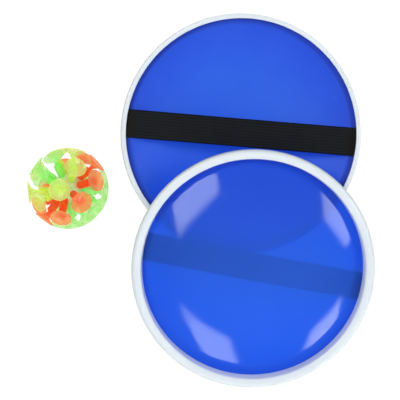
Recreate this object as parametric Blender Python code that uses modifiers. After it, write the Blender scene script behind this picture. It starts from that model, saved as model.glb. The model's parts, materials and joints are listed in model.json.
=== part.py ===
"""A suction cup catch game: two round catching paddles with hand straps, and a ball of suckers.

Metres, +Z up. The set lies on the plane Z = 0 with its origin at the middle of its footprint:
one paddle lies on its domed face, the other leans on the first one's rim, and the ball stands
beside them. Run it with blender --background --python part.py.
"""

import math

import bmesh
import bpy
import numpy as np
from mathutils import Matrix, Vector

# Fits
CLEARANCE = 0.0003

# Rim: one moulded ring, its section measured from the back edge (height 0) to the crest
PADDLE_RADIUS = 0.095
RIM_DEPTH = 0.016
RIM_DRAFT = 0.0015
RIM_WIDEST_HEIGHT = 0.0122
RIM_CREST_INSET = 0.0034
RIM_INNER_SHOULDER_DROP = 0.0012
RIM_WALL = 0.0033
LEDGE_INSET = 0.0082
LEDGE_SLOPE = 0.0019
GROOVE_WALL = 0.0013

# Face: a domed sheet whose flat flange snaps into the rim's groove
FACE_LEVEL = 0.0055
FACE_RISE = 0.021
FACE_WALL = 0.0012
FACE_SPRING_INSET = 0.0004

# Hand strap: ribbed elastic, its ends held in the groove under the flange
STRAP_WIDTH = 0.0222
STRAP_THICKNESS = 0.0012
STRAP_SLACK = 0.003
STRAP_OFFSET = 0.0013
STRAP_RIB_HEIGHT = 0.0002
STRAP_RIBS = 9

# Ball: suckers plugged into a round core
BALL_RADIUS = 0.0315
CORE_RADIUS = 0.012
PLUG_RADIUS = 0.0016
PLUG_LENGTH = 0.003
STEM_ROOT_RADIUS = 0.0029
STEM_END_RADIUS = 0.0032
STEM_LENGTH = 0.0098
NECK_RADIUS = 0.0016
NECK_LENGTH = 0.0036
CUP_RADIUS = 0.0083
CUP_DEPTH = 0.0021
CUP_WALL = 0.0008
LIP_WALL = 0.0004
CUP_MIDWAY = 0.5
CUP_MIDWAY_DEPTH = 0.72

# Suckers stand in rings round the ball's own axis: latitude, first longitude (degrees), count, colour
BALL_AXIS_AZIMUTH = 318
BALL_AXIS_ELEVATION = -28
SUCKER_RINGS = (
    (70, 34, 3, "sucker_green"),
    (35, 226, 8, "sucker_green"),
    (1, 12, 9, "sucker_red"),
    (-35, 153, 7, "sucker_yellow"),
    (-69, 130, 3, "sucker_green"),
)

# Layout on the table, angles in degrees
PADDLE_OVERLAP = 0.0826
LEANING_DIRECTION = -85.0
FACE_DOWN_TILT = 3.0
FACE_DOWN_TILT_DIRECTION = -84.0
FACE_DOWN_STRAP_TURN = 175.25
LEANING_STRAP_TURN = -10.9
BALL_GAP = 0.0149
BALL_DIRECTION = 197.4
BALL_ROLL = 6.8
BALL_ROLL_DIRECTION = -5

# Facets
ROUND_STEPS = 36
DOME_STEPS = 5
CREST_STEPS = 3
STRAP_STEPS = 4
SUCKER_STEPS = 10
CORE_STEPS = 12
SMOOTH_ANGLE = math.radians(35)
MERGE_DISTANCE = 0.00001

# Derived from the sizes above
RIM_BACK_RADIUS = PADDLE_RADIUS - RIM_DRAFT
BACK_OPENING_RADIUS = RIM_BACK_RADIUS - RIM_WALL
FACE_OPENING_RADIUS = PADDLE_RADIUS - LEDGE_INSET
LEDGE_HEIGHT = FACE_LEVEL + CLEARANCE
GROOVE_HEIGHT = LEDGE_HEIGHT - FACE_WALL - STRAP_THICKNESS - 3 * CLEARANCE
GROOVE_RADIUS = RIM_BACK_RADIUS + RIM_DRAFT * GROOVE_HEIGHT / RIM_WIDEST_HEIGHT - GROOVE_WALL + CLEARANCE
FLANGE_RADIUS = GROOVE_RADIUS - CLEARANCE
DOME_BASE_RADIUS = FACE_OPENING_RADIUS - FACE_SPRING_INSET
DOME_RADIUS = (DOME_BASE_RADIUS**2 + FACE_RISE**2) / (2 * FACE_RISE)
SOCKET_RADIUS = PLUG_RADIUS + CLEARANCE

# Search for the pose in which the second paddle rests on the first
LEAN_RANGE = (2, 30)
TURN_EITHER_WAY = 30
LEAN_HALVINGS = 22
TURN_HALVINGS = 12
EDGE_SAMPLES = 360

COLOURS = {
    "rim_white": ((0.86, 0.89, 0.90), 0.35),
    "face_blue": ((0.030, 0.105, 0.74), 0.12),
    "strap_black": ((0.012, 0.012, 0.014), 0.85),
    "core_clear": ((0.78, 0.80, 0.74), 0.25),
    "sucker_red": ((0.86, 0.10, 0.035), 0.30),
    "sucker_yellow": ((0.72, 0.78, 0.16), 0.30),
    "sucker_green": ((0.24, 0.84, 0.22), 0.30),
}


def clear_scene():
    for obj in list(bpy.data.objects):
        bpy.data.objects.remove(obj, do_unlink=True)


def new_collection(name, hidden=False):
    collection = bpy.data.collections.new(name)
    collection.hide_render = hidden
    bpy.context.scene.collection.children.link(collection)
    return collection


def material(name):
    """A plain Principled finish of the named colour."""
    found = bpy.data.materials.get(name)
    if found:
        return found
    colour, roughness = COLOURS[name]
    finish = bpy.data.materials.new(name)
    finish.use_nodes = True
    finish.diffuse_color = (*colour, 1)
    shader = finish.node_tree.nodes["Principled BSDF"]
    shader.inputs["Base Color"].default_value = (*colour, 1)
    shader.inputs["Roughness"].default_value = roughness
    shader.inputs["Metallic"].default_value = 0
    return finish


def add_object(name, mesh, collection, colour, parent):
    obj = bpy.data.objects.new(name, mesh)
    collection.objects.link(obj)
    obj.parent = parent
    if not mesh.materials:
        mesh.materials.append(material(colour))
    return obj


def add_empty(name, collection):
    empty = bpy.data.objects.new(name, None)
    collection.objects.link(empty)
    return empty


def elliptic_arc(centre, size, start, end, steps):
    """Points on an ellipse quarter or less, from the start angle to the end angle, in degrees."""
    angles = np.radians(np.linspace(start, end, steps + 1))
    return [(centre[0] + size[0] * math.cos(a), centre[1] + size[1] * math.sin(a)) for a in angles]


def profile_mesh(name, points, closed):
    """A section in the XZ plane, as edges that a Screw modifier turns."""
    mesh = bpy.data.meshes.new(name)
    edges = [(i, i + 1) for i in range(len(points) - 1)]
    if closed:
        edges.append((len(points) - 1, 0))
    mesh.from_pydata([(radius, 0, height) for radius, height in points], edges, [])
    return mesh


def turned(obj, steps):
    """Turns the object's section about its own Z axis."""
    screw = obj.modifiers.new("Turn", "SCREW")
    screw.steps = steps
    screw.render_steps = steps
    screw.use_merge_vertices = True
    screw.merge_threshold = MERGE_DISTANCE
    screw.use_smooth_shade = True
    return obj


def bake(obj):
    """Replaces the object's mesh by its evaluated one, so that copies and cutters can share it."""
    evaluated = obj.evaluated_get(bpy.context.evaluated_depsgraph_get())
    mesh = bpy.data.meshes.new_from_object(evaluated)
    obj.modifiers.clear()
    obj.data = mesh
    mesh.shade_smooth()
    mesh.set_sharp_from_angle(angle=SMOOTH_ANGLE)
    return obj


def rim_section():
    """The rim's section: rounded crest, drafted wall, and the snap groove behind the front ledge."""
    crest_radius = PADDLE_RADIUS - RIM_CREST_INSET
    crest_size = (RIM_CREST_INSET, RIM_DEPTH - RIM_WIDEST_HEIGHT)
    shoulder = (FACE_OPENING_RADIUS + LEDGE_SLOPE, RIM_DEPTH - RIM_INNER_SHOULDER_DROP)
    outer = elliptic_arc((crest_radius, RIM_WIDEST_HEIGHT), crest_size, 90, 0, CREST_STEPS)
    wall = [
        (RIM_BACK_RADIUS, 0),
        (BACK_OPENING_RADIUS, 0),
        (BACK_OPENING_RADIUS, GROOVE_HEIGHT),
        (GROOVE_RADIUS, GROOVE_HEIGHT),
        (GROOVE_RADIUS, LEDGE_HEIGHT),
        (FACE_OPENING_RADIUS, LEDGE_HEIGHT),
    ]
    return outer + wall + [shoulder]


def face_section():
    """The face's section: a domed sheet of even thickness with a flat flange."""
    centre_height = FACE_LEVEL + FACE_RISE - DOME_RADIUS
    inner_radius = DOME_RADIUS - FACE_WALL
    back_level = FACE_LEVEL - FACE_WALL
    front_edge = math.degrees(math.asin(DOME_BASE_RADIUS / DOME_RADIUS))
    back_edge = math.degrees(math.acos((back_level - centre_height) / inner_radius))
    front = elliptic_arc((0, centre_height), (DOME_RADIUS, DOME_RADIUS), 90, 90 - front_edge, DOME_STEPS)
    back = elliptic_arc((0, centre_height), (inner_radius, inner_radius), 90 - back_edge, 90, DOME_STEPS)
    return front + [(FLANGE_RADIUS, FACE_LEVEL), (FLANGE_RADIUS, back_level)] + back


def strap_mesh():
    """A flat elastic band along X with ribs along its length, slack towards the dome in the middle."""
    top = FACE_LEVEL - FACE_WALL - CLEARANCE
    reach = FLANGE_RADIUS - CLEARANCE
    half_length = math.sqrt(reach**2 - (STRAP_WIDTH / 2 + STRAP_OFFSET) ** 2)
    free = DOME_BASE_RADIUS - FACE_WALL
    stations = [-half_length, *np.linspace(-free, free, STRAP_STEPS + 1), half_length]
    pitch = STRAP_WIDTH / (2 * STRAP_RIBS)
    columns = [STRAP_OFFSET - STRAP_WIDTH / 2 + pitch * i for i in range(2 * STRAP_RIBS + 1)]
    mesh = bpy.data.meshes.new("strap")
    shell = bmesh.new()
    rows = []
    for x in stations:
        share = min(abs(x) / free, 1)
        level = top + STRAP_SLACK * (1 + math.cos(math.pi * share)) / 2
        ring = []
        for i, y in enumerate(columns):
            dip = STRAP_RIB_HEIGHT * (i % 2 == 0)
            ring.append(shell.verts.new((x, y, level - dip)))
        for i, y in reversed(list(enumerate(columns))):
            dip = STRAP_RIB_HEIGHT * (i % 2 == 0)
            ring.append(shell.verts.new((x, y, level - STRAP_THICKNESS + dip)))
        rows.append(ring)
    for near, far in zip(rows, rows[1:]):
        for i in range(len(near)):
            j = (i + 1) % len(near)
            shell.faces.new((near[i], near[j], far[j], far[i]))
    shell.faces.new(rows[0])
    shell.faces.new(rows[-1])
    bmesh.ops.recalc_face_normals(shell, faces=shell.faces)
    shell.to_mesh(mesh)
    shell.free()
    return mesh


def build_paddle(name, collection):
    """Rim, domed face and strap, standing on the rim's back edge with the face up."""
    paddle = add_empty(name, collection)
    rim_profile = profile_mesh("rim_section", rim_section(), True)
    rim = add_object(name + "_rim", rim_profile, collection, "rim_white", paddle)
    bake(turned(rim, ROUND_STEPS))
    face_profile = profile_mesh("face_section", face_section(), False)
    face = add_object(name + "_face", face_profile, collection, "face_blue", paddle)
    bake(turned(face, ROUND_STEPS))
    add_object(name + "_strap", strap_mesh(), collection, "strap_black", paddle)
    return paddle


def tipped(angle, direction):
    """A turn that tips +Z by the angle towards the direction in plan, both in degrees."""
    towards = math.radians(direction)
    axis = Vector((-math.sin(towards), math.cos(towards), 0))
    return Matrix.Rotation(math.radians(angle), 4, axis)


def plan_vector(length, direction):
    towards = math.radians(direction)
    return Vector((length * math.cos(towards), length * math.sin(towards), 0))


def back_edge_points(pose):
    """The two edges of a rim's back face, in world space."""
    angles = np.linspace(0, 2 * math.pi, EDGE_SAMPLES, endpoint=False)
    points = []
    for radius in (BACK_OPENING_RADIUS, RIM_BACK_RADIUS):
        points += [pose @ Vector((radius * math.cos(a), radius * math.sin(a), 0)) for a in angles]
    return points


def crossing_gaps(lower_pose, upper_pose, side_axis):
    """How far the two rims' back faces stand apart where they cross, on each side."""
    gaps = [math.inf, math.inf]
    for here, other in ((lower_pose, upper_pose), (upper_pose, lower_pose)):
        inverse = other.inverted()
        for point in back_edge_points(here):
            local = inverse @ point
            if not BACK_OPENING_RADIUS <= math.hypot(local.x, local.y) <= RIM_BACK_RADIUS:
                continue
            side = int((point - lower_pose.translation).dot(side_axis) > 0)
            gaps[side] = min(gaps[side], -local.z)
    return gaps


def bisect(function, low, high, halvings):
    """Where a rising function crosses zero."""
    for _ in range(halvings):
        middle = (low + high) / 2
        if function(middle) < 0:
            low = middle
        else:
            high = middle
    return (low + high) / 2


def face_down_pose():
    """The first paddle on its dome, rocked towards the load on its rim."""
    turn = tipped(FACE_DOWN_TILT, FACE_DOWN_TILT_DIRECTION) @ Matrix.Rotation(
        math.radians(FACE_DOWN_STRAP_TURN), 4, "Z"
    )
    turn = turn @ Matrix.Rotation(math.pi, 4, "X")
    dome_centre = turn @ Vector((0, 0, FACE_LEVEL + FACE_RISE - DOME_RADIUS))
    return Matrix.Translation((0, 0, DOME_RADIUS - dome_centre.z)) @ turn


def upper_pose(lean, direction):
    """The second paddle face up, its back edge on the table and leaning by the angle."""
    turn = tipped(lean, direction)
    place = plan_vector(2 * RIM_BACK_RADIUS - PADDLE_OVERLAP, LEANING_DIRECTION)
    place.z = RIM_BACK_RADIUS * math.sin(math.radians(lean))
    return Matrix.Translation(place) @ turn


def settled_pose(first_pose):
    """The lean at which the second paddle's rim just clears the first one's on both sides."""
    side_axis = plan_vector(1, LEANING_DIRECTION + 90)

    def gaps_at(lean, direction):
        return crossing_gaps(first_pose, upper_pose(lean, direction), side_axis)

    def lean_for(direction):
        return bisect(lambda lean: min(gaps_at(lean, direction)) - CLEARANCE, *LEAN_RANGE, LEAN_HALVINGS)

    def imbalance(direction):
        gaps = gaps_at(lean_for(direction), direction)
        return gaps[0] - gaps[1]

    low = LEANING_DIRECTION - TURN_EITHER_WAY
    high = LEANING_DIRECTION + TURN_EITHER_WAY
    sign = -1 if imbalance(low) > imbalance(high) else 1
    direction = bisect(lambda value: sign * imbalance(value), low, high, TURN_HALVINGS)
    strap_turn = Matrix.Rotation(math.radians(LEANING_STRAP_TURN), 4, "Z")
    return upper_pose(lean_for(direction), direction) @ strap_turn


def sucker_directions():
    """Each sucker's direction from the ball's centre and its colour, ring by ring."""
    axis = plan_vector(1, BALL_AXIS_AZIMUTH)
    across = Vector((-axis.y, axis.x, 0))
    elevation = math.radians(BALL_AXIS_ELEVATION)
    pole = axis * math.cos(elevation) + Vector((0, 0, math.sin(elevation)))
    up = pole.cross(across)
    for latitude, first, count, colour in SUCKER_RINGS:
        for i in range(count):
            longitude = math.radians(first + 360 * i / count)
            flat = across * math.cos(longitude) + up * math.sin(longitude)
            yield flat * math.cos(math.radians(latitude)) + pole * math.sin(math.radians(latitude)), colour


def sucker_section():
    """A sucker's section along +Z from the ball's centre: cup, neck, stem and plug."""
    root = CORE_RADIUS + CLEARANCE
    stem_end = root + STEM_LENGTH
    neck_end = stem_end + NECK_LENGTH
    lip = math.sqrt(BALL_RADIUS**2 - CUP_RADIUS**2)
    shoulder_radius = (NECK_RADIUS + STEM_END_RADIUS) / 2
    midway_radius = CUP_RADIUS * CUP_MIDWAY
    midway = lip - CUP_DEPTH * CUP_MIDWAY_DEPTH
    return [
        (0, lip - CUP_DEPTH),
        (midway_radius, midway),
        (CUP_RADIUS, lip),
        (CUP_RADIUS, lip - LIP_WALL),
        (midway_radius, midway - CUP_WALL),
        (NECK_RADIUS, neck_end),
        (NECK_RADIUS, stem_end + STEM_END_RADIUS - shoulder_radius),
        (STEM_END_RADIUS, stem_end),
        (STEM_ROOT_RADIUS, root),
        (PLUG_RADIUS, root),
        (PLUG_RADIUS, root - PLUG_LENGTH),
        (0, root - PLUG_LENGTH),
    ]


def build_ball(collection, cutters):
    """The core with a socket for each sucker, and the suckers in their rings."""
    ball = add_empty("sucker_ball", collection)
    core_mesh = bpy.data.meshes.new("core")
    sphere = bmesh.new()
    bmesh.ops.create_uvsphere(sphere, u_segments=CORE_STEPS, v_segments=CORE_STEPS // 2, radius=CORE_RADIUS)
    sphere.to_mesh(core_mesh)
    sphere.free()
    core = add_object("ball_core", core_mesh, collection, "core_clear", ball)

    socket_depth = PLUG_LENGTH + CLEARANCE
    sockets = bmesh.new()
    sample_profile = profile_mesh("sucker_section", sucker_section(), False)
    sample = add_object("sucker_sample", sample_profile, collection, "core_clear", ball)
    bake(turned(sample, SUCKER_STEPS))
    for number, (direction, colour) in enumerate(sucker_directions(), 1):
        turn = direction.to_track_quat("Z", "Y").to_matrix().to_4x4()
        sucker_mesh = sample.data.copy()
        sucker_mesh.materials.clear()
        sucker = add_object(f"sucker_{number:02d}", sucker_mesh, collection, colour, ball)
        sucker.matrix_local = turn
        middle = Matrix.Translation((0, 0, CORE_RADIUS))
        bmesh.ops.create_cone(
            sockets,
            cap_ends=True,
            segments=SUCKER_STEPS,
            radius1=SOCKET_RADIUS,
            radius2=SOCKET_RADIUS,
            depth=2 * socket_depth,
            matrix=turn @ middle,
        )
    bpy.data.objects.remove(sample, do_unlink=True)
    socket_mesh = bpy.data.meshes.new("sockets")
    sockets.to_mesh(socket_mesh)
    sockets.free()
    cutter = add_object("core_sockets", socket_mesh, cutters, "core_clear", ball)
    cutter.display_type = "WIRE"
    cutter.hide_render = True
    cut = core.modifiers.new("Sockets", "BOOLEAN")
    cut.operation = "DIFFERENCE"
    cut.solver = "EXACT"
    cut.object = cutter
    return ball


def world_bounds(objects):
    """The lowest and highest corners of the evaluated meshes."""
    graph = bpy.context.evaluated_depsgraph_get()
    corners = []
    for obj in objects:
        if obj.type != "MESH":
            continue
        evaluated = obj.evaluated_get(graph)
        corners += [obj.matrix_world @ vertex.co for vertex in evaluated.data.vertices]
    low = Vector(min(corner[axis] for corner in corners) for axis in range(3))
    high = Vector(max(corner[axis] for corner in corners) for axis in range(3))
    return low, high


def settle(group):
    """Lowers or lifts a group until it just touches the table."""
    bpy.context.view_layer.update()
    low, _ = world_bounds(group.children)
    group.location.z -= low.z
    bpy.context.view_layer.update()


def build():
    clear_scene()
    parts = new_collection("suction_cup_catch_game")
    cutters = new_collection("cutters", hidden=True)

    face_down = build_paddle("lower_paddle", parts)
    leaning = build_paddle("upper_paddle", parts)
    ball = build_ball(parts, cutters)

    first_pose = face_down_pose()
    face_down.matrix_world = first_pose
    leaning.matrix_world = settled_pose(first_pose)
    ball_place = plan_vector(PADDLE_RADIUS + BALL_GAP + BALL_RADIUS, BALL_DIRECTION)
    ball.matrix_world = Matrix.Translation(ball_place) @ tipped(BALL_ROLL, BALL_ROLL_DIRECTION)
    groups = (face_down, leaning, ball)
    for group in groups:
        settle(group)

    low, high = world_bounds([child for group in groups for child in group.children])
    for group in groups:
        group.location.x -= (low.x + high.x) / 2
        group.location.y -= (low.y + high.y) / 2
    bpy.context.view_layer.update()


build()
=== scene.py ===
"""Looks of a suction cup catch game: two domed paddles with hand straps and a ball of suckers.

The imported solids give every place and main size. The pieces made here stand where the solids
stand, with their finer forms and their finishes. Units are metres, +Z up.
"""

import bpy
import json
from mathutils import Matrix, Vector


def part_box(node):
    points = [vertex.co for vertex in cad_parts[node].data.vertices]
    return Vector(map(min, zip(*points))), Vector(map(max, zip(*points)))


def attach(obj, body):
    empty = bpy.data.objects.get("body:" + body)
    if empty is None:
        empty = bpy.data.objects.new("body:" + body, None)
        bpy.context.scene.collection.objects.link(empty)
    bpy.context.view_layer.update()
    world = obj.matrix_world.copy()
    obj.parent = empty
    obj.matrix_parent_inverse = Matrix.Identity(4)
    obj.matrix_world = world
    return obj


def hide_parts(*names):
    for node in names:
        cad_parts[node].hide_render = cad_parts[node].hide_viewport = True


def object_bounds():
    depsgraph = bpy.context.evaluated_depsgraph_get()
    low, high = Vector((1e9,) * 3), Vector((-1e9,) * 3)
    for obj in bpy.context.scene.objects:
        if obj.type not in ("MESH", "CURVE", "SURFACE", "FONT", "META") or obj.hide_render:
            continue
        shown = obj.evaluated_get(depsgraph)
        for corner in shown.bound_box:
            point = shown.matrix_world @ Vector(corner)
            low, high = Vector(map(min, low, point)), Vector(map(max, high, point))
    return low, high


bl_info = {
    "name": "Suction Cup Catch Game",
    "version": (1, 0, 0),
    "blender": (4, 5, 0),
    "location": "View3D > Sidebar > Catch Game",
    "description": "Dresses two catching paddles and a ball of suckers, and lights them on a white table",
    "category": "Add Mesh",
}

import json
import math

import bmesh
import bpy
import numpy as np
from bpy.props import FloatProperty, FloatVectorProperty, IntProperty, PointerProperty
from mathutils import Matrix, Vector

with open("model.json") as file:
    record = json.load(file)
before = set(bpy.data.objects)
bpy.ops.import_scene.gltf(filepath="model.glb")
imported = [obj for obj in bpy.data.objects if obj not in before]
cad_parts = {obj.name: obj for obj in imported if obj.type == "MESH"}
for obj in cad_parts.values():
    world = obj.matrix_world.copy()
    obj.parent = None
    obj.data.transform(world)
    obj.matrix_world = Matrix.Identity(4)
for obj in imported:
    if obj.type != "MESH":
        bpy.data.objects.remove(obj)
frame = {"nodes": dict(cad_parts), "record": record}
CAD_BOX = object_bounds()

BODY = "root"
PADDLES = ("lower_paddle", "upper_paddle")
SUCKERS = sorted(name for name in frame["nodes"] if name.startswith("sucker_"))
SUCKER_SLOTS = {row["node"]: row["material_slot"] for row in frame["record"]["subparts"]}
RIM_MAP = "reach_and_height"
FACE_MAP = "reach"
STRAP_MAP = "along_and_across"
SUCKER_MAP = "height_and_reach"

# Steps of the meshes
RIM_TURNS = 256
FACE_TURNS = 192
SUCKER_TURNS = 48
SOCKET_TURNS = 24
TABLE_TURNS = 96
CREST_STEPS = 18
DOME_STEPS = 48
CUP_STEPS = 12
CUP_BACK_STEPS = 5
FILLET_STEPS = 5
STRAP_STATIONS = 73
RIB_STEPS = 6

# Edges sharper than these angles, in degrees, stay sharp
TURNED_EDGE = 50
STRAP_EDGE = 60
CORE_EDGE = 40

# Fillets of the rim inside, and how much of a short side a fillet may take
FLOOR_ROUND = 0.0002
LEDGE_ROUND = 0.0003
SIDE_SHARE = 0.45

# The painted shade on the rim's outer wall, a darker tone that stands in for the shade on that side, as shares
# of its reach and height: from where to where each edge of it fades
PAINTED_SHADE_REACH = (0.965, 0.982)
PAINTED_SHADE_FOOT = (0.04, 0.12)
PAINTED_SHADE_TOP = (0.78, 0.985)

# The strap's mesh: the step of its rounded edge, the height of its edge and its selvage against the ribs, and
# where and how much the rim presses it flat
EDGE_STEP = 0.00012
EDGE_WAVE = -0.6
SELVAGE_WAVE = 0.55
PRESSED_FROM = 0.004
PRESSED_RUN = 0.003
PRESSED_SHARE = 0.75

# The strap's finish: from where to where the pressed end and the selvage fade in, measured inwards from the end
# and from the edge, and the pitch of the weft
PRESSED_FINISH = (0.0098, 0.0086)
SELVAGE_FINISH = (0.0011, 0.0006)
WEFT_PITCH = 0.0011

# The sucker: the curve of the cup's hollow, the back of the cup as shares of its radius, depth and wall, the
# neck's flare and foot, the stem's shoulder, its root, and how far under the ball's surface its map ends
CUP_CURVE = 1.84
CUP_BACK = ((0.76, 0.36, 0.8), (0.5, 0.72, 1.0))
NECK_FLARE = 1.55
FLARE_OVER = 0.0004
FLARE_UNDER = 0.0010
NECK_FOOT = 0.0009
SHOULDER_RISE = 0.0007
SHOULDER_INSET = 0.0003
SHOULDER_HALFWAY = 0.00025
SHOULDER_DROP = 0.0004
ROOT_ROUND = 0.0002
MAP_LIP = 0.004

# The face's two sides: the lowest and the highest roughness, and the share of haze
GLOSSY_SIDE = (0.07, 0.15, 0.0)
SATIN_SIDE = (0.50, 0.62, 0.015)

# A direction along which no sucker points
ASIDE = (0.31, 0.95, 0.12)

# How clear the stems and the cups of each colour are, and the strength of their painted glow: an emission,
# though the plastic is no lamp
CORE_CLEARNESS_AND_GLOW = (0.45, 0.60, 0.1)
SUCKER_CLEARNESS_AND_GLOW = {"red": (0.25, 0.52, 0.19), "yellow": (0.38, 0.64, 0.14), "green": (0.40, 0.68, 0.14)}

# The table's size and its gap under the set, the unlit margin of a soft box, and a lamp's watts for each unit
# of radiance and square metre
TABLE_RADIUS = 14.0
TABLE_GAP = 0.0006
BOX_MARGIN = 0.1
LAMP_WATTS = 4


def node_points(name):
    """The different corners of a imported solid."""
    mesh = frame["nodes"][name].data
    points = np.empty(len(mesh.vertices) * 3)
    mesh.vertices.foreach_get("co", points)
    return np.unique(points.reshape(-1, 3).round(6), axis=0)


def turned_axis(points, towards):
    """The middle and the axis of a turned solid's corners, with the axis to the side of the given place."""
    middle = points.mean(axis=0)
    spreads, directions = np.linalg.svd(points - middle, full_matrices=False)[1:]
    odd = 2 if spreads[0] - spreads[1] < spreads[1] - spreads[2] else 0
    axis = directions[odd]
    if axis @ (np.asarray(towards) - middle) < 0:
        axis = -axis
    return middle, axis


def matrix_from(origin, x_axis, z_axis):
    """A placement with its Z along z_axis and its X as near x_axis as it goes."""
    up = Vector(z_axis).normalized()
    side = Vector(x_axis)
    side = (side - side.dot(up) * up).normalized()
    turn = Matrix((side, up.cross(side), up)).transposed().to_4x4()
    return Matrix.Translation(origin) @ turn


def paddle_place(name):
    """A paddle's own placement: origin in the middle of its back edge, +Z to the front, +X along the strap.

    The strap lies a little beside the middle, on the +Y side.
    """
    rim = node_points(name + "_rim")
    face = node_points(name + "_face")
    middle, axis = turned_axis(rim, face.mean(axis=0))
    heights = (rim - middle) @ axis
    strap = node_points(name + "_strap")
    along = np.linalg.svd(strap - strap.mean(axis=0), full_matrices=False)[2][0]
    if np.cross(axis, along) @ (strap.mean(axis=0) - middle) < 0:
        along = -along
    return matrix_from(middle + axis * heights.min(), along, axis)


def rim_reach(name):
    """The rim's outer radius and its depth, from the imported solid."""
    place = paddle_place(name).inverted()
    local = [place @ Vector(point) for point in node_points(name + "_rim")]
    return max(math.hypot(p.x, p.y) for p in local), max(p.z for p in local)


def ball_centre():
    """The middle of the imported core."""
    low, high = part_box("ball_core")
    return (low + high) / 2


def sucker_place(name):
    """A sucker's placement: origin at the ball's centre, +Z out along the stem."""
    centre = np.array(ball_centre())
    points = node_points(name)
    middle, axis = turned_axis(points, 2 * points.mean(axis=0) - centre)
    origin = middle - axis * ((middle - centre) @ axis)
    return matrix_from(origin, ASIDE, axis)


RIM_RADIUS, RIM_DEPTH = rim_reach(PADDLES[0])


def length(name, description, default):
    """A setting in metres."""
    return FloatProperty(name=name, description=description, default=default, unit="LENGTH", precision=5)


def colour(name, description, default):
    """A colour setting in linear light."""
    return FloatVectorProperty(
        name=name, description=description, default=default, subtype="COLOR", size=3, min=0, max=1
    )


def amount(name, description, default):
    """A setting from 0 to 1."""
    return FloatProperty(
        name=name, description=description, default=default, min=0, max=1, subtype="FACTOR"
    )


def brightness(name, description, default):
    """A strength of light, from 0 up."""
    return FloatProperty(name=name, description=description, default=default, min=0)


class PaddleSizes(bpy.types.PropertyGroup):
    """Sizes of one paddle, measured from the middle of its back edge."""

    rim_radius: length("Rim radius", "Radius at the rim's widest line", RIM_RADIUS)
    rim_depth: length("Rim depth", "From the back edge to the crest", RIM_DEPTH)
    rim_draft: length("Rim draft", "How much narrower the back edge is", 0.0015)
    widest_height: length("Widest height", "Height of the rim's widest line", 0.0122)
    crest_inset: length("Crest inset", "From the widest line to the crest", 0.0034)
    shoulder_drop: length("Shoulder drop", "From the crest down to the inner shoulder", 0.0012)
    shoulder_round: length("Shoulder rounding", "Fillet of the inner shoulder", 0.0013)
    edge_round: length("Edge rounding", "Fillet of the rim's back edges", 0.0004)
    rim_wall: length("Rim wall", "Wall at the back edge", 0.0033)
    ledge_inset: length("Ledge inset", "From the widest line to the opening over the face", 0.0082)
    ledge_slope: length("Ledge slope", "How far the ledge's wall leans outwards", 0.0008)
    groove_wall: length("Groove wall", "Wall outside the snap groove", 0.0013)
    face_level: length("Face level", "Height of the face's flange", 0.0055)
    face_rise: length("Face rise", "How far the dome rises over its flange", 0.021)
    face_wall: length("Face wall", "Thickness of the domed sheet", 0.0012)
    spring_inset: length("Spring inset", "From the opening to the dome's foot", 0.0004)
    clearance: length("Clearance", "Gap between pieces that touch", 0.0003)


class StrapSizes(bpy.types.PropertyGroup):
    """Sizes of a hand strap."""

    width: length("Width", "Across the strap", 0.0222)
    thickness: length("Thickness", "Of the elastic", 0.0012)
    slack: length("Slack", "How far the middle hangs towards the dome", 0.003)
    offset: length("Offset", "From the paddle's middle to the strap's", 0.0013)
    rib_height: length("Rib height", "Depth of the channels between the ribs", 0.00022)
    ribs: IntProperty(name="Ribs", description="Cords woven along the strap", default=9, min=3)
    selvage: length("Selvage", "Plain edge beside the ribs", 0.0007)


class BallSizes(bpy.types.PropertyGroup):
    """Sizes of the ball of suckers, measured from its centre."""

    radius: length("Ball radius", "To the lips of the cups", 0.0315)
    core_radius: length("Core radius", "Of the round core", 0.012)
    plug_radius: length("Plug radius", "Of the plug in its socket", 0.0016)
    plug_length: length("Plug length", "From the stem's root inwards", 0.003)
    stem_root: length("Stem root radius", "Where the stem stands on the core", 0.0029)
    stem_end: length("Stem end radius", "At the stem's far end", 0.0032)
    stem_length: length("Stem length", "From root to end", 0.0098)
    neck_radius: length("Neck radius", "Between stem and cup", 0.0016)
    neck_length: length("Neck length", "Between stem and cup", 0.0036)
    cup_radius: length("Cup radius", "At the lip", 0.0083)
    cup_depth: length("Cup depth", "Hollow of the cup", 0.0021)
    cup_wall: length("Cup wall", "Half way out", 0.0008)
    lip_wall: length("Lip wall", "At the lip", 0.0004)
    clearance: length("Clearance", "Gap between pieces that touch", 0.0003)


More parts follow.
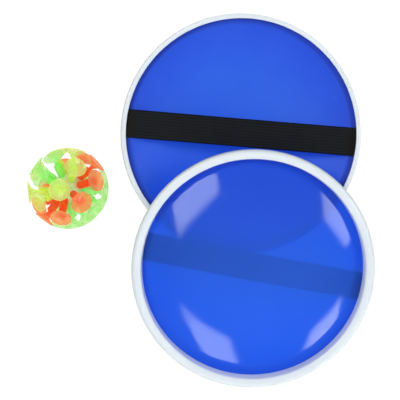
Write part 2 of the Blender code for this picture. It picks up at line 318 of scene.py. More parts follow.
class FinishColours(bpy.types.PropertyGroup):
    """Colours of the finishes, in linear light."""

    rim: colour("Rim", "Moulded white plastic", (0.715, 0.742, 0.86))
    rim_shade: colour("Rim shade", "Where the white is a little dull", (0.675, 0.702, 0.82))
    # Painted shade: the outer wall's darker tone stands in for shade, not for a duller plastic
    rim_wall: colour("Rim wall", "Round the outside", (0.46, 0.50, 0.56))
    rim_scuff: colour("Rim scuffs", "Small rubbed spots", (0.52, 0.57, 0.63))
    face: colour("Face", "Blue of the see-through sheet", (0.034, 0.200, 0.97))
    # Painted shade: the faces' edge tones are darker blues that stand in for shade towards the rim
    face_edge_shade: colour("Face edge shade", "Towards its edge", (0.024, 0.175, 0.96))
    face_back: colour("Face back", "The satin side of the sheet", (0.050, 0.235, 0.83))
    face_back_edge_shade: colour("Face back edge shade", "Towards its edge", (0.006, 0.090, 0.69))
    face_tint: colour("Face tint", "What the sheet lets through", (0.09, 0.30, 0.94))
    face_dust: colour("Face dust", "Sparse specks and a pale haze", (0.50, 0.56, 0.80))
    strap: colour("Strap", "Black elastic", (0.0175, 0.019, 0.025))
    strap_weft: colour("Strap weft", "Between the cords", (0.0035, 0.004, 0.006))
    strap_fuzz: colour("Strap fuzz", "Fine loose threads", (0.035, 0.038, 0.045))
    strap_wear: colour("Strap wear", "Faintly uneven patches", (0.015, 0.016, 0.020))
    strap_end: colour("Strap ends", "Pressed flat under the rim", (0.009, 0.009, 0.009))
    core: colour("Core", "Cloudy clear plastic", (0.88, 0.90, 0.76))
    core_pale: colour("Pale core", "Where it is clearer", (0.95, 0.96, 0.88))
    red: colour("Red sucker", "The thick stems", (1.0, 0.085, 0.012))
    red_pale: colour("Pale red sucker", "The thin cups", (1.0, 0.55, 0.27))
    yellow: colour("Yellow sucker", "The thick stems", (0.72, 0.99, 0.20))
    yellow_pale: colour("Pale yellow sucker", "The thin cups", (0.88, 0.92, 0.49))
    green: colour("Green sucker", "The thick stems", (0.34, 0.99, 0.25))
    green_pale: colour("Pale green sucker", "The thin cups", (0.78, 0.94, 0.60))


class LightSettings(bpy.types.PropertyGroup):
    """The studio: soft boxes, the surrounding light and the camera."""

    camera_height: length("Camera height", "Above the table", 0.9)
    camera_view: length("Camera view", "Width of table in the picture", 0.32185)
    camera_x: length("Camera X", "Beside the origin", -0.00125)
    camera_y: length("Camera Y", "Beside the origin", 0.00096)
    box_distance: length("Soft box distance", "From the front paddle", 1.04)
    box_radiance: brightness("Soft box radiance", "Light of each box", 5.2)
    box_tone: colour("Soft box tone", "Colour of the boxes' light", (0.94, 1.0, 0.85))
    surround: brightness("Surround", "Light from the walls", 0.20)
    zenith: brightness("Zenith", "Further light from above", 0.36)
    sky_tone: colour("Sky tone", "Colour of the surrounding light", (0.95, 0.98, 1.0))
    table: colour("Table", "The table under the light", (0.82, 0.82, 0.82))
    table_white: brightness("Table white", "How white the picture sees it", 1.04)
    table_shadow: amount("Table shadow", "How much of its shade the white table shows", 0.06)


class Wiring:
    """Adds nodes to one node tree and links them."""

    def __init__(self, owner):
        owner.use_nodes = True
        self.tree = owner.node_tree
        self.tree.nodes.clear()

    def add(self, kind, sockets=None, **settings):
        """A new node; each socket gets a value or a link, and each setting is set on the node."""
        node = self.tree.nodes.new(kind)
        for key, value in settings.items():
            setattr(node, key, value)
        for key, value in (sockets or {}).items():
            if isinstance(value, bpy.types.NodeSocket):
                self.tree.links.new(value, node.inputs[key])
            else:
                node.inputs[key].default_value = value
        return node

    def math(self, operation, first, second=0.0, third=0.0):
        """The result of one operation on up to three numbers."""
        sockets = {0: first, 1: second, 2: third}
        return self.add("ShaderNodeMath", sockets, operation=operation).outputs[0]

    def place(self):
        """Coordinates in the piece's own frame."""
        return self.add("ShaderNodeTexCoord").outputs["Object"]

    def chart(self, name):
        """The two values of the piece's own map."""
        spot = self.add("ShaderNodeUVMap", uv_map=name).outputs["UV"]
        return self.add("ShaderNodeSeparateXYZ", {"Vector": spot}).outputs[:2]

    def noise(self, scale, detail=3.0, roughness=0.55, place=None, shift=0.0):
        """Noise in the piece's own frame, in its own patch on each piece."""
        own = self.add("ShaderNodeObjectInfo").outputs["Random"]
        sockets = {
            "Vector": place or self.place(),
            "W": self.math("MULTIPLY_ADD", own, 7.0, shift),
            "Scale": scale,
            "Detail": detail,
            "Roughness": roughness,
        }
        return self.add("ShaderNodeTexNoise", sockets, noise_dimensions="4D").outputs["Fac"]

    def remap(self, value, low, high, new_low=0.0, new_high=1.0):
        """A smooth step between two values, from one new value to another."""
        sockets = {"Value": value, "From Min": low, "From Max": high, "To Min": new_low, "To Max": new_high}
        return self.add("ShaderNodeMapRange", sockets, interpolation_type="SMOOTHSTEP").outputs["Result"]

    def blend(self, share, first, second):
        """A mix of two colours."""
        node = self.add("ShaderNodeMix", data_type="RGBA")
        for socket, value in zip((node.inputs[0], node.inputs[6], node.inputs[7]), (share, first, second)):
            if isinstance(value, bpy.types.NodeSocket):
                self.tree.links.new(value, socket)
            else:
                socket.default_value = value if isinstance(value, float) else (*value, 1.0)
        return node.outputs[2]

    def layer(self, share, first, second):
        """A mix of two shaders."""
        return self.add("ShaderNodeMixShader", {0: share, 1: first, 2: second}).outputs[0]

    def bump(self, height, distance, strength=1.0, below=None):
        """A normal raised by the height, on top of another bump if there is one."""
        sockets = {"Height": height, "Distance": distance, "Strength": strength}
        if below:
            sockets["Normal"] = below
        return self.add("ShaderNodeBump", sockets).outputs["Normal"]

    def output(self, shader, kind="ShaderNodeOutputMaterial"):
        """Ends the tree with the shader."""
        self.add(kind, {"Surface": shader})


def colours():
    """The settings of the finishes' colours."""
    return bpy.context.scene.catch_finishes


def rim_finish():
    """White moulded plastic: satin, faintly uneven, scuffed here and there, with painted shade round its outer
    wall.
    """
    made = bpy.data.materials.new("rim_white")
    wiring = Wiring(made)
    cloud = wiring.noise(22.0, 4.0)
    scuffs = wiring.remap(wiring.noise(420.0, 5.0, 0.7, shift=3.0), 0.62, 0.76)
    tone = wiring.blend(wiring.remap(cloud, 0.35, 0.7), colours().rim, colours().rim_shade)
    tone = wiring.blend(wiring.math("MULTIPLY", scuffs, 0.30), tone, colours().rim_scuff)
    reach, height = wiring.chart(RIM_MAP)
    # Painted shade: the rim's outer wall is blended towards a darker tone
    wall = wiring.math("MULTIPLY", wiring.remap(reach, *PAINTED_SHADE_REACH), wiring.remap(height, *PAINTED_SHADE_FOOT))
    wall = wiring.math("MULTIPLY", wall, wiring.remap(height, *PAINTED_SHADE_TOP, 0.9, 0.0))
    tone = wiring.blend(wall, tone, colours().rim_wall)
    gloss = wiring.math("MULTIPLY_ADD", scuffs, 0.25, wiring.remap(cloud, 0.3, 0.7, 0.30, 0.40))
    skin = wiring.bump(wiring.noise(900.0, 2.0), 0.00003)
    waves = wiring.bump(wiring.noise(60.0, 2.0, shift=5.0), 0.00025, 0.5, below=skin)
    sockets = {"Base Color": tone, "Roughness": gloss, "Normal": waves}
    shader = wiring.add("ShaderNodeBsdfPrincipled", sockets)
    wiring.output(shader.outputs[0])
    return made


def face_finish(name, blue, deep, low_gloss, high_gloss, haze):
    """Blue see-through sheet: tinted clear through, with painted shade towards its edge, dusty, faintly waved
    from moulding.
    """
    made = bpy.data.materials.new(name)
    wiring = Wiring(made)
    place = wiring.place()
    cloud = wiring.noise(14.0, 3.0, place=place)
    # Painted shade: the blue darkens towards the edge, with a little random cloudiness on top
    edge_shade_share = wiring.remap(wiring.chart(FACE_MAP)[0], 0.4, 1.05, 0.0, 0.8)
    edge_shade_share = wiring.math("MULTIPLY_ADD", wiring.remap(cloud, 0.3, 0.7), 0.25, edge_shade_share)
    tone = wiring.blend(edge_shade_share, blue, deep)
    dust_cells = wiring.add("ShaderNodeTexVoronoi", {"Vector": place, "Scale": 95.0}, feature="F1")
    near = wiring.remap(dust_cells.outputs["Distance"], 0.016, 0.045, 1.0, 0.0)
    lot = wiring.add("ShaderNodeSeparateColor", {"Color": dust_cells.outputs["Color"]}).outputs[0]
    chosen = wiring.math("GREATER_THAN", lot, 0.93)
    dust = wiring.math("MULTIPLY", near, chosen)
    tone = wiring.blend(wiring.math("MULTIPLY_ADD", dust, 0.35, haze), tone, colours().face_dust)
    smears = wiring.remap(wiring.noise(55.0, 5.0, 0.65, shift=2.0), 0.45, 0.75, low_gloss, high_gloss)
    gloss = wiring.math("MULTIPLY_ADD", dust, 0.4, smears)
    skin = wiring.bump(wiring.noise(1300.0, 2.0), 0.000012)
    waves = wiring.bump(wiring.noise(38.0, 2.0, shift=4.0), 0.00018, 0.6, below=skin)
    sockets = {"Base Color": tone, "Roughness": gloss, "Normal": waves, "Specular IOR Level": 0.85}
    skin_side = wiring.add("ShaderNodeBsdfPrincipled", sockets)
    glow = wiring.add("ShaderNodeBsdfTranslucent", {"Color": tone, "Normal": waves})
    sheet = wiring.layer(0.35, skin_side.outputs[0], glow.outputs[0])
    clear = wiring.add("ShaderNodeBsdfTransparent", {"Color": (*colours().face_tint, 1.0)})
    through = wiring.remap(cloud, 0.2, 0.8, 0.44, 0.48)
    wiring.output(wiring.layer(through, sheet, clear.outputs[0]))
    return made


def strap_finish(sizes, half_length):
    """Black elastic: cords along it, crossed by a fine weft, plain where its ends are pressed."""
    made = bpy.data.materials.new("strap_black")
    wiring = Wiring(made)
    place = wiring.add("ShaderNodeUVMap", uv_map=STRAP_MAP).outputs["UV"]
    along, across = wiring.add("ShaderNodeSeparateXYZ", {"Vector": place}).outputs[:2]
    ribbed = sizes.width - 2 * sizes.selvage
    endwards = wiring.math("ABSOLUTE", along)
    end = wiring.remap(endwards, half_length - PRESSED_FINISH[0], half_length - PRESSED_FINISH[1])
    rows = wiring.math("MULTIPLY", across, math.pi * (sizes.ribs * 2) / ribbed)
    stagger = wiring.math("MULTIPLY", wiring.math("SIGN", wiring.math("SINE", rows)), math.pi / 2)
    weft = wiring.math("SINE", wiring.math("MULTIPLY_ADD", along, 2 * math.pi / WEFT_PITCH, stagger))
    fuzz = wiring.noise(2600.0, 4.0, 0.7, place=place)
    cloud = wiring.noise(70.0, 3.0, place=place, shift=2.0)
    tone = wiring.blend(wiring.remap(weft, -1.0, 1.0, 0.0, 1.0), colours().strap, colours().strap_weft)
    threads = wiring.math("MULTIPLY", wiring.remap(fuzz, 0.55, 0.8), 0.25)
    tone = wiring.blend(threads, tone, colours().strap_fuzz)
    patches = wiring.math("MULTIPLY", wiring.remap(cloud, 0.4, 0.7), 0.25)
    tone = wiring.blend(patches, tone, colours().strap_wear)
    turns = wiring.math("MULTIPLY", across, math.pi * sizes.ribs / ribbed)
    turns = wiring.math("ADD", turns, math.pi * sizes.ribs / 2)
    channel = wiring.remap(wiring.math("ABSOLUTE", wiring.math("SINE", turns)), 0.15, 0.80, 0.75, 0.0)
    edgewards = wiring.math("ABSOLUTE", across)
    half_width = sizes.width / 2
    selvage = wiring.remap(edgewards, half_width - SELVAGE_FINISH[0], half_width - SELVAGE_FINISH[1])
    tone = wiring.blend(wiring.math("MAXIMUM", channel, selvage), tone, colours().strap_weft)
    tone = wiring.blend(end, tone, colours().strap_end)
    fine = wiring.bump(fuzz, 0.00008, 0.6)
    loose = wiring.math("SUBTRACT", 1.0, end)
    woven = wiring.bump(wiring.math("MULTIPLY", weft, loose), 0.00007, 0.8, below=fine)
    gloss = wiring.remap(cloud, 0.3, 0.7, 0.62, 0.82)
    sockets = {"Base Color": tone, "Roughness": gloss, "Normal": woven, "Specular IOR Level": 0.08}
    shader = wiring.add("ShaderNodeBsdfPrincipled", sockets)
    wiring.output(shader.outputs[0])
    return made


def soft_clear_finish(name, tone, pale, clearness, cup_clearness, painted_glow):
    """Soft see-through neon-coloured plastic with a faint painted glow: deep in the thick stems, pale in the
    thin cups.
    """
    made = bpy.data.materials.new(name)
    wiring = Wiring(made)
    cloud = wiring.noise(160.0, 3.0)
    height, reach = wiring.chart(SUCKER_MAP)
    lip = wiring.math("MULTIPLY", wiring.remap(reach, 0.88, 0.96), height)
    spread = wiring.remap(reach, 0.12, 0.85, 0.22, 1.0)
    thin = wiring.math("MULTIPLY", height, spread)
    thin = wiring.math("MULTIPLY_ADD", lip, -0.45, thin)
    paler = wiring.math("MULTIPLY_ADD", thin, 0.8, wiring.remap(cloud, 0.35, 0.75, 0.0, 0.2))
    body = wiring.blend(paler, tone, pale)
    skin = wiring.bump(wiring.noise(1500.0, 2.0), 0.00002)
    waves = wiring.bump(wiring.noise(260.0, 2.0, shift=3.0), 0.00012, 0.5, below=skin)
    gloss = wiring.remap(wiring.noise(300.0, 4.0, 0.65, shift=6.0), 0.4, 0.7, 0.16, 0.34)
    sockets = {"Base Color": body, "Roughness": gloss, "Normal": waves, "Specular IOR Level": 0.7}
    # Painted glow: the plastic emits its own colour, though it is no lamp
    sockets |= {"Emission Color": body, "Emission Strength": painted_glow}
    solid = wiring.add("ShaderNodeBsdfPrincipled", sockets)
    glow = wiring.add("ShaderNodeBsdfTranslucent", {"Color": body, "Normal": waves})
    lit = wiring.layer(0.45, solid.outputs[0], glow.outputs[0])
    tint = [1 - (1 - part) * 0.75 for part in pale]
    clear = wiring.add("ShaderNodeBsdfTransparent", {"Color": (*tint, 1.0)})
    through = wiring.math("MULTIPLY_ADD", thin, cup_clearness - clearness, clearness)
    through = wiring.math("ADD", through, wiring.remap(cloud, 0.2, 0.8, -0.04, 0.04))
    wiring.output(wiring.layer(through, lit, clear.outputs[0]))
    return made


def arc(centre, size, start, end, steps):
    """Points on an ellipse from the start angle to the end angle, in degrees."""
    angles = np.radians(np.linspace(start, end, steps + 1))
    return [(centre[0] + size[0] * math.cos(a), centre[1] + size[1] * math.sin(a)) for a in angles]


def rounded(corners):
    """A closed outline through corners of (radius, height, fillet)."""
    outline = []
    for i, (x, y, fillet) in enumerate(corners):
        corner = Vector((x, y))
        before = Vector(corners[i - 1][:2]) - corner
        after = Vector(corners[(i + 1) % len(corners)][:2]) - corner
        reach = min(fillet, SIDE_SHARE * before.length, SIDE_SHARE * after.length)
        if reach <= 0:
            outline.append(tuple(corner))
            continue
        start = corner + before.normalized() * reach
        end = corner + after.normalized() * reach
        for share in np.linspace(0, 1, FILLET_STEPS + 1):
            point = start * (1 - share) ** 2 + corner * 2 * share * (1 - share) + end * share**2
            outline.append(tuple(point))
    return outline


def flowing(points, steps):
    """A smooth line through the points, as a chain of Catmull-Rom pieces."""
    ends = [points[0], *points, points[-1]]
    line = []
    for a, b, c, d in zip(ends, ends[1:], ends[2:], ends[3:]):
        a, b, c, d = (Vector(p) for p in (a, b, c, d))
        for share in np.linspace(0, 1, steps, endpoint=False):
            bend = 2 * b + (c - a) * share + (2 * a - 5 * b + 4 * c - d) * share**2
            line.append(tuple((bend + (3 * b - a - 3 * c + d) * share**3) / 2))
    return [*line, tuple(points[-1])]


def turned_mesh(name, section, steps, closed):
    """Turns a section of (radius, height) points about Z into a smooth closed mesh."""
    shell = bmesh.new()
    points = [shell.verts.new((radius, 0, height)) for radius, height in section]
    pairs = list(zip(points, points[1:]))
    if closed:
        pairs.append((points[-1], points[0]))
    edges = [shell.edges.new(pair) for pair in pairs]
    bmesh.ops.spin(
        shell, geom=points + edges, axis=(0, 0, 1), cent=(0, 0, 0), angle=2 * math.pi,
        steps=steps, use_merge=True,
    )
    bmesh.ops.remove_doubles(shell, verts=shell.verts, dist=0.000002)
    bmesh.ops.recalc_face_normals(shell, faces=shell.faces)
    mesh = bpy.data.meshes.new(name)
    shell.to_mesh(mesh)
    shell.free()
    mesh.shade_smooth()
    mesh.set_sharp_from_angle(angle=math.radians(TURNED_EDGE))
    return mesh


def add_map(mesh, name, chart):
    """Adds a UV map whose values come from each corner's place in the piece's own frame."""
    layer = mesh.uv_layers.new(name=name)
    for loop, spot in zip(mesh.loops, layer.uv):
        spot.vector = chart(mesh.vertices[loop.vertex_index].co)


def show(name, mesh, place, finishes, slot, *stands_for):
    """Puts a piece's mesh where its solid is, rides it on the body and hides the solid."""
    mesh.transform(place)
    piece = bpy.data.objects.new(name, mesh)
    bpy.context.scene.collection.objects.link(piece)
    for finish in finishes:
        mesh.materials.append(finish)
    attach(piece, BODY)
    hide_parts(*stands_for)
    return piece


def groove_floor(sizes):
    """Height of the snap groove's floor, under the strap's ends and the face's flange."""
    strap = bpy.context.scene.catch_strap
    return sizes.face_level - sizes.face_wall - strap.thickness - 2 * sizes.clearance


def flange_radius(sizes):
    """Radius of the face's flange, which fills the snap groove but for the clearance."""
    back = sizes.rim_radius - sizes.rim_draft
    return back + sizes.rim_draft * groove_floor(sizes) / sizes.widest_height - sizes.groove_wall


def rim_section(sizes):
    """The rim's section: rounded crest, drafted wall, snap groove and the ledge over the face."""
    opening = sizes.rim_radius - sizes.ledge_inset
    back = sizes.rim_radius - sizes.rim_draft
    ledge = sizes.face_level + sizes.clearance
    floor = groove_floor(sizes)
    groove = flange_radius(sizes) + sizes.clearance
    crest = arc(
        (sizes.rim_radius - sizes.crest_inset, sizes.widest_height),
        (sizes.crest_inset, sizes.rim_depth - sizes.widest_height), 90, 0, CREST_STEPS,
    )
    corners = [(x, y, 0) for x, y in crest]
    corners += [
        (back, 0, sizes.edge_round),
        (back - sizes.rim_wall, 0, sizes.edge_round),
        (back - sizes.rim_wall, floor, FLOOR_ROUND),
        (groove, floor, 0),
        (groove, ledge, 0),
        (opening, ledge, LEDGE_ROUND),
        (opening + sizes.ledge_slope, sizes.rim_depth - sizes.shoulder_drop, sizes.shoulder_round),
    ]
    return rounded(corners)


def face_section(sizes):
    """The face's section: a domed sheet of even thickness with a flat flange."""
    foot = sizes.rim_radius - sizes.ledge_inset - sizes.spring_inset
    level = sizes.face_level
    flange = flange_radius(sizes)
    dome = (foot**2 + sizes.face_rise**2) / (2 * sizes.face_rise)
    centre = level + sizes.face_rise - dome
    inner = dome - sizes.face_wall
    front_edge = math.degrees(math.asin(foot / dome))
    back_edge = math.degrees(math.acos((level - sizes.face_wall - centre) / inner))
    front = arc((0, centre), (dome, dome), 90, 90 - front_edge, DOME_STEPS)
    behind = arc((0, centre), (inner, inner), 90 - back_edge, 90, DOME_STEPS)
    return front + [(flange, level), (flange, level - sizes.face_wall)] + behind


class CATCHGAME_OT_rims(bpy.types.Operator):
    """Turn the two white rims with their snap grooves"""

    bl_idname = "catch_game.rims"
    bl_label = "Rims"

    def execute(self, context):
        sizes = context.scene.catch_paddle
        finish = rim_finish()
        for paddle in PADDLES:
            mesh = turned_mesh(paddle + "_rim_moulded", rim_section(sizes), RIM_TURNS, True)
            add_map(mesh, RIM_MAP, lambda point: (
                math.hypot(point.x, point.y) / sizes.rim_radius, point.z / sizes.rim_depth))
            show(paddle + "_rim_moulded", mesh, paddle_place(paddle), [finish], "rim_white", paddle + "_rim")
        return {"FINISHED"}


class CATCHGAME_OT_faces(bpy.types.Operator):
    """Turn the two blue domed faces, glossy in front and satin behind"""

    bl_idname = "catch_game.faces"
    bl_label = "Faces"

    def execute(self, context):
        sizes = context.scene.catch_paddle
        tones = colours()
        finishes = [
            face_finish("face_blue", tones.face, tones.face_edge_shade, *GLOSSY_SIDE),
            face_finish("face_blue_back", tones.face_back, tones.face_back_edge_shade, *SATIN_SIDE),
        ]
        for paddle in PADDLES:
            mesh = turned_mesh(paddle + "_face_sheet", face_section(sizes), FACE_TURNS, False)
            for side in mesh.polygons:
                side.material_index = int(side.normal.z < 0)
            add_map(mesh, FACE_MAP, lambda point: (
                math.hypot(point.x, point.y) / sizes.rim_radius, 0))
            show(paddle + "_face_sheet", mesh, paddle_place(paddle), finishes, "face_blue", paddle + "_face")
        return {"FINISHED"}


def strap_half_length(paddle, strap):
    """Half the length of a strap whose corners reach the snap groove's wall but for the clearance."""
    reach = flange_radius(paddle) - paddle.clearance
    return math.sqrt(reach**2 - (strap.width / 2 + strap.offset) ** 2)


def strap_mesh(name, paddle, strap):
    """A ribbed elastic band along X, slack towards the dome, flat where the rim holds its ends."""
    half_length = strap_half_length(paddle, strap)
    free = paddle.rim_radius - paddle.ledge_inset - paddle.spring_inset - paddle.face_wall
    top = paddle.face_level - paddle.face_wall - paddle.clearance
    stations = [-half_length, *np.linspace(-free, free, STRAP_STATIONS), half_length]
    half_width = strap.width / 2
    ribbed = half_width - strap.selvage
    across = [-half_width, -half_width + EDGE_STEP]
    across += list(np.linspace(-ribbed, ribbed, strap.ribs * RIB_STEPS + 1))
    across += [half_width - EDGE_STEP, half_width]
    shell = bmesh.new()
    rows = []
    for x in stations:
        share = min(abs(x) / free, 1)
        level = top + strap.slack * (1 + math.cos(math.pi * share)) / 2
        pressed = 1 - PRESSED_SHARE * max(0, min(1, (abs(x) - free + PRESSED_FROM) / PRESSED_RUN))
        ring = []
        for sign, order in ((0, across), (1, across[::-1])):
            for y in order:
                if abs(y) <= ribbed:
                    wave = abs(math.sin(math.pi * (y + ribbed) * strap.ribs / (2 * ribbed)))
                elif abs(y) > half_width - EDGE_STEP / 2:
                    wave = EDGE_WAVE
                else:
                    wave = SELVAGE_WAVE
                dip = strap.rib_height * (1 - wave) * pressed
                z = level - dip if sign == 0 else level - strap.thickness + dip
                ring.append(shell.verts.new((x, y + strap.offset, z)))
        rows.append(ring)
    for near, far in zip(rows, rows[1:]):
        for i in range(len(near)):
            j = (i + 1) % len(near)
            shell.faces.new((near[i], near[j], far[j], far[i]))
    shell.faces.new(rows[0])
    shell.faces.new(rows[-1])
    bmesh.ops.recalc_face_normals(shell, faces=shell.faces)
    mesh = bpy.data.meshes.new(name)
    shell.to_mesh(mesh)
    shell.free()
    add_map(mesh, STRAP_MAP, lambda point: (point.x, point.y - strap.offset))
    mesh.shade_smooth()
    mesh.set_sharp_from_angle(angle=math.radians(STRAP_EDGE))
    return mesh


class CATCHGAME_OT_straps(bpy.types.Operator):
    """Weave the two black hand straps"""

    bl_idname = "catch_game.straps"
    bl_label = "Hand straps"

    def execute(self, context):
        paddle_sizes = context.scene.catch_paddle
        strap = context.scene.catch_strap
        finish = strap_finish(strap, strap_half_length(paddle_sizes, strap))
        for paddle in PADDLES:
            mesh = strap_mesh(paddle + "_strap_elastic", paddle_sizes, strap)
            place = paddle_place(paddle)
            show(paddle + "_strap_elastic", mesh, place, [finish], "strap_black", paddle + "_strap")
        return {"FINISHED"}


def sucker_section(sizes):
    """A sucker's section along +Z from the ball's centre: shallow cup, thin neck, thick stem and plug."""
    root = sizes.core_radius + sizes.clearance
    stem_end = root + sizes.stem_length
    neck_end = stem_end + sizes.neck_length
    lip = math.sqrt(sizes.radius**2 - sizes.cup_radius**2)
    inner = [
        (sizes.cup_radius * share, lip - sizes.cup_depth * (1 - share**CUP_CURVE))
        for share in np.linspace(0, 1, CUP_STEPS + 1)
    ]
    back = [
        (sizes.cup_radius * out, lip - sizes.cup_depth * down - sizes.cup_wall * wall)
        for out, down, wall in CUP_BACK
    ]
    outer = flowing(
        [
            (sizes.cup_radius, lip - sizes.lip_wall),
            *back,
            (sizes.neck_radius * NECK_FLARE, neck_end + FLARE_OVER),
            (sizes.neck_radius, neck_end - FLARE_UNDER),
            (sizes.neck_radius, stem_end + NECK_FOOT),
        ], CUP_BACK_STEPS,
    )
    stem = [
        ((sizes.neck_radius + sizes.stem_end) / 2, stem_end + SHOULDER_RISE),
        (sizes.stem_end - SHOULDER_INSET, stem_end + SHOULDER_HALFWAY),
        (sizes.stem_end, stem_end - SHOULDER_DROP),
        (sizes.stem_root, root + ROOT_ROUND),
        (sizes.stem_root - ROOT_ROUND, root),
        (sizes.plug_radius, root),
        (sizes.plug_radius, root - sizes.plug_length),
        (0, root - sizes.plug_length),
    ]
    return inner + outer + stem


def socket_cutter(sizes, place):
    """One object with a round peg for each sucker's socket, to cut from the core."""
    sockets = bmesh.new()
    depth = sizes.plug_length + sizes.clearance
    radius = sizes.plug_radius + sizes.clearance
    for name in SUCKERS:
        turn = sucker_place(name).to_quaternion().to_matrix().to_4x4()
        bmesh.ops.create_cone(
            sockets, cap_ends=True, segments=SOCKET_TURNS, radius1=radius, radius2=radius,
            depth=2 * depth, matrix=turn @ Matrix.Translation((0, 0, sizes.core_radius)),
        )
    mesh = bpy.data.meshes.new("sockets")
    sockets.to_mesh(mesh)
    sockets.free()
    cutter = bpy.data.objects.new("sockets", mesh)
    bpy.context.scene.collection.objects.link(cutter)
    cutter.matrix_world = place
    return cutter


class CATCHGAME_OT_core(bpy.types.Operator):
    """Mould the ball's round core with a socket for each sucker"""

    bl_idname = "catch_game.core"
    bl_label = "Ball core"

    def execute(self, context):
        sizes = context.scene.catch_ball
        mesh = bpy.data.meshes.new("ball_core_moulded")
        ball = bmesh.new()
        bmesh.ops.create_icosphere(ball, subdivisions=5, radius=sizes.core_radius)
        ball.to_mesh(mesh)
        ball.free()
        tones = colours()
        finish = soft_clear_finish("core_clear", tones.core, tones.core_pale, *CORE_CLEARNESS_AND_GLOW)
        place = Matrix.Translation(ball_centre())
        core = show("ball_core_moulded", mesh, place, [finish], "core_clear", "ball_core")
        cutter = socket_cutter(sizes, place)
        cut = core.modifiers.new("Sockets", "BOOLEAN")
        cut.operation = "DIFFERENCE"
        cut.object = cutter
        context.view_layer.update()
        evaluated = core.evaluated_get(context.evaluated_depsgraph_get())
        drilled = bpy.data.meshes.new_from_object(evaluated)
        core.modifiers.clear()
        core.data = drilled
        drilled.shade_smooth()
        drilled.set_sharp_from_angle(angle=math.radians(CORE_EDGE))
        bpy.data.objects.remove(cutter, do_unlink=True)
        return {"FINISHED"}


class CATCHGAME_OT_suckers(bpy.types.Operator):
    """Mould the thirty suckers in their three colours"""

    bl_idname = "catch_game.suckers"
    bl_label = "Suckers"

    def execute(self, context):
        sizes = context.scene.catch_ball
        tones = colours()
        finishes = {}
        for key, clearness in SUCKER_CLEARNESS_AND_GLOW.items():
            slot = "sucker_" + key
            tone, pale = getattr(tones, key), getattr(tones, key + "_pale")
            finishes[slot] = soft_clear_finish(slot, tone, pale, *clearness)
        sample = turned_mesh("sucker_sample", sucker_section(sizes), SUCKER_TURNS, False)
        neck = sizes.core_radius + sizes.stem_length + sizes.neck_length / 2
        cup_run = sizes.radius - neck - MAP_LIP
        add_map(sample, SUCKER_MAP, lambda point: (
            min(1, max(0, (point.z - neck) / cup_run)),
            math.hypot(point.x, point.y) / sizes.cup_radius,
        ))
        for name in SUCKERS:
            slot = SUCKER_SLOTS[name]
            mesh = sample.copy()
            mesh.name = name + "_moulded"
            show(name + "_moulded", mesh, sucker_place(name), [finishes[slot]], slot, name)
        bpy.data.meshes.remove(sample)
        return {"FINISHED"}


# Soft boxes round the table: azimuth and elevation in degrees, share of the full light, and the corners of
# the lit part in metres, each with the width of the fade along the edge to the next corner
SOFT_BOXES = (
    ("upper_left", 146.3, 52.8, 1.27, (
        (0.049, -0.213, 0.013), (0.406, 0.091, 0.053), (-0.197, 0.213, 0.022), (-0.406, -0.021, 0.009))),
    ("upper_right", 14.1, 34.8, 1.32, (
        (0.348, 0.093, 0.036), (-0.039, 0.197, 0.036), (-0.348, -0.011, 0.018), (-0.044, -0.197, 0.009))),
    ("lower_left", -110.1, 23.4, 1.14, (
        (-0.343, 0.236, 0.013), (0.099, -0.235, 0.018), (0.343, -0.236, 0.027), (0.199, 0.087, 0.044))),
    ("lower_right", -52.5, 13.5, 1.50, (
        (0.332, 0.197, 0.036), (-0.045, 0.140, 0.036), (-0.332, -0.197, 0.009), (-0.087, -0.197, 0.013))),
)


def soft_box(name, azimuth, elevation, share, corners, settings, aim):
    """One soft box that faces the aim, lit inside its corners and soft along its edges."""
    width, height = (2 * max(abs(corner[i]) for corner in corners) + BOX_MARGIN for i in (0, 1))
    light = bpy.data.lights.new("soft_box_" + name, "AREA")
    light.shape = "RECTANGLE"
    light.size = width
    light.size_y = height
    light.energy = settings.box_radiance * share * width * height * LAMP_WATTS
    turn, tip = math.radians(azimuth), math.radians(elevation)
    away = Vector((math.cos(turn) * math.cos(tip), math.sin(turn) * math.cos(tip), math.sin(tip)))
    side = Vector((0, 0, 1)).cross(away).normalized()

    wiring = Wiring(light)
    spot = wiring.add("ShaderNodeNewGeometry").outputs["Parametric"]
    apart = wiring.add("ShaderNodeSeparateXYZ", {"Vector": spot}).outputs
    lit = 1.0
    for (x, y, fade), (next_x, next_y, _) in zip(corners, corners[1:] + corners[:1]):
        inwards = Vector((y - next_y, next_x - x)).normalized()
        start = -inwards.x * (x + width / 2) - inwards.y * (y + height / 2)
        depth = wiring.math("MULTIPLY_ADD", apart[0], inwards.x * width, start)
        depth = wiring.math("MULTIPLY_ADD", apart[1], inwards.y * height, depth)
        lit = wiring.math("MULTIPLY", wiring.remap(depth, -fade, fade), lit)
    shine = wiring.add("ShaderNodeEmission", {"Color": (*settings.box_tone, 1.0), "Strength": lit})
    wiring.output(shine.outputs[0], "ShaderNodeOutputLight")
    lamp = bpy.data.objects.new("soft_box_" + name, light)
    bpy.context.scene.collection.objects.link(lamp)
    lamp.matrix_world = matrix_from(aim + away * settings.box_distance, side, away)


def table_finish(settings):
    """A white table: the picture sees it white with a trace of shade, the pieces get its real light."""
    made = bpy.data.materials.new("white_table")
    wiring = Wiring(made)
    rays = wiring.add("ShaderNodeLightPath").outputs
    seen = wiring.math("MAXIMUM", rays["Is Camera Ray"], rays["Is Glossy Ray"])
    seen = wiring.math("MAXIMUM", seen, rays["Is Transmission Ray"])
    cloth = wiring.add("ShaderNodeBsdfDiffuse", {"Color": (*settings.table, 1)})
    white = wiring.add("ShaderNodeEmission", {"Color": (1, 1, 1, 1), "Strength": settings.table_white})
    trace = wiring.layer(settings.table_shadow, white.outputs[0], cloth.outputs[0])
    wiring.output(wiring.layer(seen, cloth.outputs[0], trace))
    return made


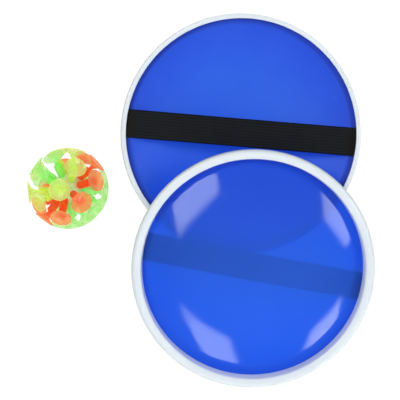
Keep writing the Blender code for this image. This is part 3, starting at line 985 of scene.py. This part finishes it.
def white_table(settings):
    """A wide round table just under the set."""
    table = bmesh.new()
    bmesh.ops.create_circle(table, cap_ends=True, segments=TABLE_TURNS, radius=TABLE_RADIUS)
    mesh = bpy.data.meshes.new("white_table")
    table.to_mesh(mesh)
    table.free()
    mesh.materials.append(table_finish(settings))
    floor = bpy.data.objects.new("white_table", mesh)
    bpy.context.scene.collection.objects.link(floor)
    floor.location.z = CAD_BOX[0].z - TABLE_GAP
    return floor


def surround_light(settings):
    """A plain world: white to the camera, and for the pieces a faint light that grows towards the zenith."""
    world = bpy.data.worlds.new("surround")
    wiring = Wiring(world)
    rays = wiring.add("ShaderNodeLightPath").outputs
    towards = wiring.add("ShaderNodeTexCoord").outputs["Generated"]
    height = wiring.add("ShaderNodeSeparateXYZ", {"Vector": towards}).outputs[2]
    light = wiring.remap(height, 0.0, 0.95, settings.surround, settings.surround + settings.zenith)
    seen = rays["Is Camera Ray"]
    share = wiring.math("MULTIPLY_ADD", wiring.math("SUBTRACT", 1.0, seen), light, seen)
    tone = wiring.blend(seen, settings.sky_tone, (1.0, 1.0, 1.0))
    sky = wiring.add("ShaderNodeBackground", {"Color": tone, "Strength": share})
    wiring.output(sky.outputs[0], "ShaderNodeOutputWorld")
    return world


def overhead_camera(settings):
    """A camera that looks straight down on the set."""
    camera = bpy.data.objects.new("camera", bpy.data.cameras.new("camera"))
    bpy.context.scene.collection.objects.link(camera)
    camera.location = (settings.camera_x, settings.camera_y, settings.camera_height)
    camera.data.lens = camera.data.sensor_width * settings.camera_height / settings.camera_view
    camera.data.clip_start = 0.01
    camera.data.clip_end = 100.0
    return camera


class CATCHGAME_OT_stage(bpy.types.Operator):
    """Lay the white table, hang the soft boxes and place the camera"""

    bl_idname = "catch_game.stage"
    bl_label = "Table, light and camera"

    def execute(self, context):
        scene = context.scene
        settings = scene.catch_light
        floor = white_table(settings)
        sizes = scene.catch_paddle
        aim = paddle_place("upper_paddle") @ Vector((0, 0, sizes.face_level + sizes.face_rise))
        for box in SOFT_BOXES:
            soft_box(*box, settings, aim)
        scene.world = surround_light(settings)
        scene.camera = overhead_camera(settings)
        scene.view_settings.view_transform = "Standard"
        return {"FINISHED"}


OPERATORS = (
    CATCHGAME_OT_stage,
    CATCHGAME_OT_rims,
    CATCHGAME_OT_faces,
    CATCHGAME_OT_straps,
    CATCHGAME_OT_core,
    CATCHGAME_OT_suckers,
)
SETTINGS = {
    "catch_paddle": PaddleSizes,
    "catch_strap": StrapSizes,
    "catch_ball": BallSizes,
    "catch_finishes": FinishColours,
    "catch_light": LightSettings,
}


class CATCHGAME_PT_panel(bpy.types.Panel):
    """Steps and settings of the catch game"""

    bl_idname = "CATCHGAME_PT_panel"
    bl_label = "Catch Game"
    bl_space_type = "VIEW_3D"
    bl_region_type = "UI"
    bl_category = "Catch Game"

    def draw(self, context):
        for operator in OPERATORS:
            self.layout.operator(operator.bl_idname)
        for name, group in SETTINGS.items():
            box = self.layout.box()
            for prop in group.__annotations__:
                box.prop(getattr(context.scene, name), prop)


def register():
    """Registers the settings, the steps and the panel."""
    for group in SETTINGS.values():
        bpy.utils.register_class(group)
    for name, group in SETTINGS.items():
        setattr(bpy.types.Scene, name, PointerProperty(type=group))
    for operator in OPERATORS:
        bpy.utils.register_class(operator)
    bpy.utils.register_class(CATCHGAME_PT_panel)


def unregister():
    """Takes the panel, the steps and the settings out again."""
    bpy.utils.unregister_class(CATCHGAME_PT_panel)
    for operator in reversed(OPERATORS):
        bpy.utils.unregister_class(operator)
    for name in SETTINGS:
        delattr(bpy.types.Scene, name)
    for group in reversed(SETTINGS.values()):
        bpy.utils.unregister_class(group)


def main():
    """Builds the looks step by step."""
    register()
    bpy.ops.catch_game.stage()
    bpy.ops.catch_game.rims()
    bpy.ops.catch_game.faces()
    bpy.ops.catch_game.straps()
    bpy.ops.catch_game.core()
    bpy.ops.catch_game.suckers()


if __name__ == "__main__":
    main()
